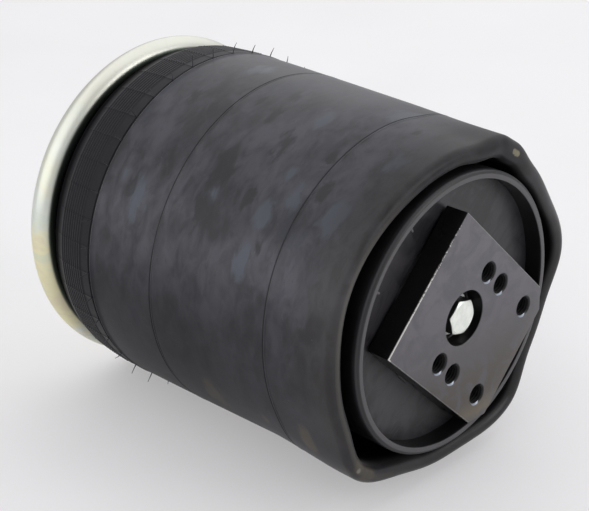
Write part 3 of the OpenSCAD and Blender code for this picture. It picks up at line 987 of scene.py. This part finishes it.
def zinc_finish(name):
    """Zinc plating: pale satin metal, tinted yellow and pink towards one side, with painted shade
    on its upper side and a painted reflection under its roll.
    """
    f = Finish(name, 0.2, 1.0)
    place = f.place()
    low_side = f.mask(f.part(place, "Y") - 0.5 * f.part(place, "X"), 70 * mm, 125 * mm)
    cloud = f.noise(place, 60 * mm, 4, 0.55, 0.6)
    drift = f.noise(f.scaled(place, 1, 1, 0.6), 24 * mm, 3, 0.5, 1.0)
    stain = f.noise(place, 7 * mm, 5, 0.65, 0.4)
    # painted reflection of the dark rubber on the underside of the roll
    under = f.mask(f.part(place, "Z"), roll_mid.y - 8.3 * mm, roll_mid.y - 9.0 * mm)
    under = under * f.mask(f.radius(place), roll_mid.x - 6 * mm, roll_mid.x - 4 * mm)
    colour = f.layered(
        paint(220, 224, 216),
        (f.mask(cloud, 0.4, 0.62) * 0.5, 214, 210, 192),
        (low_side * f.mask(cloud, 0.3, 0.5) * 0.85, 238, 232, 190),
        (low_side * f.mask(drift, 0.5, 0.62) * 0.3, 218, 200, 188),
        (f.mask(drift, 0.46, 0.36) * 0.35, 206, 218, 208),
        # painted shade on the upper side
        (f.mask(f.along(place, world_up), 60 * mm, 108 * mm) * 0.7, 196, 194, 184),
        (f.mask(stain, 0.64, 0.76) * 0.2, 150, 146, 128),
        # painted reflection under the roll
        (under * 0.97, 100, 110, 100),
    )
    rough = 0.34 + cloud * 0.08 + stain * 0.05
    fine = f.noise(f.scaled(place, 1, 1, 6), 1.6 * mm, 2, 0.5)
    return f.set(Base_Color=colour, Roughness=rough, Normal=f.bump(fine, 0.02 * mm))


def plate_finish():
    """Satin ground steel face, black sides, brown towards the far corner, worn edges."""
    f = Finish("ground_steel", 0.4, 0.25)
    place = f.place()
    depth = f.part(place, "Z")
    along = f.part(place, "X")
    across = f.part(place, "Y")
    cloud = f.noise(place, 17 * mm, 5, 0.62, 0.8)
    fine = f.noise(place, 1.4 * mm, 4, 0.6)
    face = f.mask(depth, 0.5 * mm, 0.12 * mm)
    far = along + across
    grey = f.layered(
        paint(91, 90, 94),
        (f.mask(cloud, 0.38, 0.62), 105, 102, 107),
        (f.mask(far, -60 * mm, 70 * mm) * 0.5, 74, 71, 73),
        (f.mask(far, 10 * mm, 80 * mm) * f.mask(cloud, 0.36, 0.56) * 0.85, 74, 68, 60),
        (f.mask(far, 84 * mm, 104 * mm) * f.mask(cloud, 0.3, 0.55) * 0.6, 116, 106, 88),
        (f.mask(fine, 0.62, 0.78) * 0.3, 128, 126, 126),
        (f.mask(fine, 0.4, 0.28) * 0.3, 70, 68, 70),
    )
    side = f.mix(f.mask(fine, 0.5, 0.7), paint(15, 13, 15), paint(26, 23, 22))
    worn_near = f.mask(along, plate_low.x + 0.95 * mm, plate_low.x + 0.35 * mm)
    worn_low = f.mask(across, -60 * mm, 40 * mm)
    rim = f.mask(abs(across), plate_high.y - 0.7 * mm, plate_high.y - 0.3 * mm)
    chip = f.noise(place, 1.3 * mm, 4, 0.7)
    near = worn_near * f.mask(chip, 0.62 - worn_low * 0.34, 0.7 - worn_low * 0.26)
    hook = f.mask(across, plate_high.y - 0.9 * mm, plate_high.y - 0.5 * mm) * f.mask(
        along, plate_low.x + 3.6 * mm, plate_low.x + 1.6 * mm)
    near = near.most(hook * 0.9)
    edge = near.most(rim * 0.2 * f.mask(chip, 0.35, 0.5)) * f.mask(depth, 0.95 * mm, 0.35 * mm)
    # the low side of each hole's chamfer catches the light
    flat_place = f.scaled(place, 1, 1, 0)
    low = Vector((0.5, 0.87, 0)) * 3.4 * mm
    hole = f.distance(flat_place, *[Vector((x, y, 0)) + low for x, y in hole_places])
    mouth = f.mask(hole, hole_r - 1.6 * mm, hole_r - 2.4 * mm) * f.mask(
        depth, 1.3 * mm, 0.9 * mm) * f.mask(depth, 0.02 * mm, 0.3 * mm)
    colour = f.layered(
        f.mix(face, side, grey), (mouth * 0.8, 176, 184, 196), (edge * 0.9, 240, 238, 232))
    rough = 0.36 + cloud * 0.1 - (1 - face) * 0.12
    metal = 0.25 + edge * 0.2 + mouth * 0.3
    return f.set(Base_Color=colour, Roughness=rough, Metallic=metal,
                 Normal=f.bump(fine * 0.4 + cloud, 0.05 * mm, 0.4))


def black_steel_finish():
    """Oiled black steel of the threads."""
    f = Finish("black_steel", 0.6, Specular_IOR_Level=0.2)
    fine = f.noise(f.place(), 1.2 * mm, 3, 0.6)
    colour = f.mix(fine, paint(3, 3, 4), paint(9, 8, 9))
    return f.set(Base_Color=colour, Normal=f.bump(fine, 0.04 * mm))


# Painted shade of two notches on the edge of the pad under the mounting plate
pad_notch_shade = [(-21.8 * mm, 45.6 * mm, 16.8 * mm), (-17.2 * mm, 47.4 * mm, 16.8 * mm)]


def moulded_finish(name):
    """Glass-filled moulded plastic, black with a satin sheen, flow clouds and scuffs, and painted
    highlight and shade on the rim.
    """
    f = Finish(name, 0.45)
    place = f.place()
    depth = f.part(place, "Z")
    cloud = f.noise(place, 38 * mm, 4, 0.55, 0.8)
    fine = f.noise(place, 0.9 * mm, 3, 0.6)
    scuff = f.noise(f.scaled(place, 1, 0.4, 1), 11 * mm, 6, 0.68, 1.4)
    # painted light and shade on the rim: a painted highlight on its inner edge, painted shade on
    # its wall, on the roll of its outer edge and on the bevel
    out = f.radius(place)
    edge = f.mask(depth, rim_face_z + 0.8 * mm, rim_face_z + 0.15 * mm)
    edge = edge * f.mask(out, rim_r - 1.5 * mm, rim_r - 2.4 * mm)
    wall = f.mask(out, rim_r - 5.5 * mm, rim_r - 5.2 * mm)
    wall = wall * f.mask(depth, rim_face_z + 0.6 * mm, rim_face_z + 1.6 * mm)
    roll = f.mask(out, rim_r - 2.4 * mm, rim_r - 1.5 * mm)
    roll = roll * f.mask(depth, rim_face_z + 1.6 * mm, rim_face_z + 0.9 * mm)
    bevel = f.mask(out, rim_r - 2 * mm, rim_r - 1 * mm) * f.mask(depth, 10.4 * mm, 8.8 * mm)
    bevel = bevel * f.mask(depth, rim_face_z + 0.6 * mm, rim_face_z + 1.2 * mm)
    colour = f.layered(
        paint(27, 26, 29),
        (f.mask(cloud, 0.44, 0.56), 50, 48, 51),
        (f.mask(scuff, 0.5, 0.66) * 0.5, 60, 57, 62),
        (f.mask(scuff, 0.46, 0.36) * 0.5, 22, 21, 23),
        (edge * 0.7, 84, 82, 84),
        # painted shade in the pad's two notches
        (f.mask(f.distance(place, *pad_notch_shade), 1.5 * mm, 1.0 * mm), 6, 5, 6),
        (wall * 0.85, 10, 9, 11),
        (roll * 0.95, 13, 12, 15),
        (bevel * 0.75, 40, 39, 42),
    )
    rough = 0.36 + cloud * 0.12
    return f.set(Base_Color=colour, Roughness=rough,
                 Normal=f.bump(fine * 0.6 + scuff, 0.05 * mm, 0.7))


def bright_bolt_finish(name, shaded_sides):
    """Bright zinc, faintly green; a painted reflection of the dark recess makes the sides of the
    bolt's head nearly black.
    """
    f = Finish(name, 0.25, 0.7 if shaded_sides else 0.2)
    place = f.place()
    cloud = f.noise(place, 6 * mm, 4, 0.6, 0.5)
    fine = f.noise(place, 0.7 * mm, 4, 0.65)
    colour = f.layered(
        paint(231, 235, 227),
        (f.mask(cloud, 0.4, 0.65), 244, 246, 240),
        (f.mask(fine, 0.62, 0.75) * 0.25, 160, 160, 150),
    )
    if shaded_sides:
        # painted reflection of the dark recess on the sides of the bolt's head
        side = f.mask(f.part(place, "Z"), bolt_low.z + 0.5 * mm, bolt_low.z + 1.2 * mm)
        colour = f.mix(side * 0.95, colour, paint(24, 34, 27))
    return f.set(Base_Color=colour, Roughness=0.3 + cloud * 0.2,
                 Normal=f.bump(fine, 0.05 * mm, 0.6))


def wire_finish():
    """Bronze-coated bead wire, wound in strands."""
    f = Finish("bronzed_wire", 0.35, 0.9)
    strands = f.strands(f.place(), 240, 1, "X")
    return f.set(Base_Color=f.mix(strands, paint(150, 118, 74), paint(196, 160, 104)),
                 Normal=f.bump(strands, 0.1 * mm))


outer_rubber = rubber_finish("sleeve_rubber", True)
plain_rubber = rubber_finish("plain_rubber", False)
cord = cord_finish("rubbered_cord")
yellow_zinc = zinc_finish("yellowish_zinc")
ground_steel = plate_finish()
black_steel = black_steel_finish()
moulded = moulded_finish("moulded_plastic")
bolt_zinc = bright_bolt_finish("bolt_zinc", True)
washer_zinc = bright_bolt_finish("washer_zinc", False)
bronzed_wire = wire_finish()


# What each piece is made of, rides on and stands for

def coat(piece, finish):
    piece.data.materials.clear()
    piece.data.materials.append(finish)


def settle(piece, finish, slot_name, body, *nodes):
    coat(piece, finish)
    if nodes:
        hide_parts(*nodes)
    if body:
        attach(piece, body)


def settle_sleeve(piece, finish, slot_name, wall, *nodes):
    settle(piece, finish, slot_name, None, *nodes)
    if wall:
        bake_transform(piece)
    else:
        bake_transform(piece)


settle_sleeve(cover_wall, outer_rubber, "sleeve_rubber", True, "sleeve_cover")
settle_sleeve(cover_roll, outer_rubber, "sleeve_rubber", False, "rolling_lobe")
settle_sleeve(whiskers, plain_rubber, "sleeve_rubber", True)
settle(upper_bead, plain_rubber, "sleeve_rubber", "bead_plate_assembly", "upper_bead")
for layer, piece in hidden_layers:
    is_liner = layer == "sleeve_liner"
    settle_sleeve(piece, plain_rubber if is_liner else cord,
                  "sleeve_rubber" if is_liner else "sleeve_cord",
                  piece.name.endswith("_wall"), layer)
for piece, node_name in (
    (bead_plate, "bead_plate"), (plain_stud, "mounting_stud"), (inlet_stud, "air_inlet_stud"),
):
    settle(piece, yellow_zinc, "zinc_steel", "bead_plate_assembly", node_name)
settle(mounting_plate, ground_steel, "plate_steel", "piston_assembly", "mounting_plate")
settle(hole_threads, black_steel, "plate_steel", "piston_assembly")
for piece in (piston_rim, rim_flash):
    settle(piece, moulded, "piston_plastic", "piston_assembly")

for node_name, finish in (
    ("piston", moulded), ("piston_base", moulded), ("locating_pins", black_steel),
    ("piston_bolt", bolt_zinc), ("bolt_washer", washer_zinc), ("end_closure", yellow_zinc),
    ("threaded_boss", yellow_zinc), ("bumper", plain_rubber), ("lower_bead", plain_rubber),
    ("lower_bead_wire", bronzed_wire), ("upper_bead_wire", bronzed_wire),
):
    coat(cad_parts[node_name], finish)


# Floor, light and camera

object_middle = Vector((0, 0, 0.14))
floor_drop = 116.0 * mm


def floor_finish():
    """Pale cloth backdrop; seen from below it isn't there."""
    f = Finish("pale_cloth", 0.9)
    soft = f.noise(f.place(), 220 * mm, 3, 0.5, 0.3)
    colour = f.mix(soft, paint(244, 242, 243), paint(251, 250, 251))
    glow = f.node("ShaderNodeEmission", {}, {"Color": colour, "Strength": 1.0})
    lit = f.blended(f.ray("Is Camera Ray") * 0.36, f.surface, glow)
    behind = f.node("ShaderNodeNewGeometry", {}, {}, "Backfacing")
    f.show(f.blended(behind, lit, f.node("ShaderNodeBsdfTransparent", {}, {})))
    return f.set(Base_Color=colour)


def make_floor():
    """A large sheet on which the object lies, with faint soft folds."""
    size, count = 6.0, 160
    places = np.linspace(-1, 1, count)
    places = np.sign(places) * np.abs(places) ** 1.8 * size / 2
    points = []
    for u in places:
        for v in places:
            at = Vector((u, v, 0))
            fold = noise.noise(at * 5.5) * 0.5 + noise.noise(at * 13 + Vector((3, 1, 0))) * 0.3
            reach = math.hypot(u, v)
            fade = min(1, max(0, reach - 0.1) / 0.25)
            drop = -abs(fold) * 14 * mm * fade
            point = object_middle + sideways * u + along_axis * v + world_up * (drop - floor_drop)
            points.append(point)
    faces = [
        (i * count + j, (i + 1) * count + j, (i + 1) * count + j + 1, i * count + j + 1)
        for i in range(count - 1) for j in range(count - 1)
    ]
    mesh = bpy.data.meshes.new("floor")
    mesh.from_pydata([tuple(p) for p in points], [], faces)
    mesh.update()
    if mesh.polygons[0].normal.dot(world_up) < 0:
        mesh.flip_normals()
    mesh.shade_smooth()
    floor = placed("floor", mesh)
    mesh.materials.append(floor_finish())


make_floor()


def lamp(name, direction, distance, size, power):
    """A soft square lamp that shines on the object."""
    data = bpy.data.lights.new(name, "AREA")
    data.shape = "SQUARE"
    data.size = size
    data.energy = power
    light = placed(name, data)
    toward = direction.normalized()
    light.location = object_middle + toward * distance
    light.rotation_mode = "QUATERNION"
    light.rotation_quaternion = (-toward).to_track_quat("-Z", "Y")


lamp("key", world_up + sideways * 0.55 + along_axis * 0.3, 1.8, 3.2, 26)
lamp("left", world_up * 0.6 - sideways * 0.8 + along_axis * 0.2, 1.9, 2.8, 18)
lamp("front", world_up * 0.5 + sideways * 0.4 - along_axis * 1.0, 2.0, 1.2, 12)


def make_world():
    """Soft grey light all round; near-white where the camera sees it."""
    world = bpy.data.worlds.new("studio")
    bpy.context.scene.world = world
    world.use_nodes = True
    w = Nodes(world.node_tree)
    shown = None
    for colour, strength, ray in (
        ((0.93, 0.95, 1.0, 1), 0.32, None),
        ((0.96, 0.97, 1.0, 1), 0.66, "Is Glossy Ray"),
        (paint(238, 238, 239), 1.0, "Is Camera Ray"),
    ):
        light = w.node("ShaderNodeBackground", {}, {"Color": colour, "Strength": strength})
        shown = w.blended(w.ray(ray), shown, light) if ray else light
    w.show(shown)


make_world()


def make_camera():
    """The photograph's view of the object."""
    data = bpy.data.cameras.new("camera")
    data.sensor_width = 36
    data.lens = 93.03
    data.clip_start = 0.02
    data.clip_end = 30
    camera = placed("camera", data)
    right = Vector((0.49993, -0.4819, -0.71961)).normalized()
    up = Vector((-0.4052, -0.8645, 0.29742))
    up = (up - right * up.dot(right)).normalized()
    back = right.cross(up)
    place = Vector((-0.7684, 0.1477, -0.4903))
    camera.matrix_world = Matrix((
        (right.x, up.x, back.x, place.x), (right.y, up.y, back.y, place.y),
        (right.z, up.z, back.z, place.z), (0, 0, 0, 1),
    ))
    bpy.context.scene.camera = camera


make_camera()
bpy.context.scene.view_settings.view_transform = "Standard"
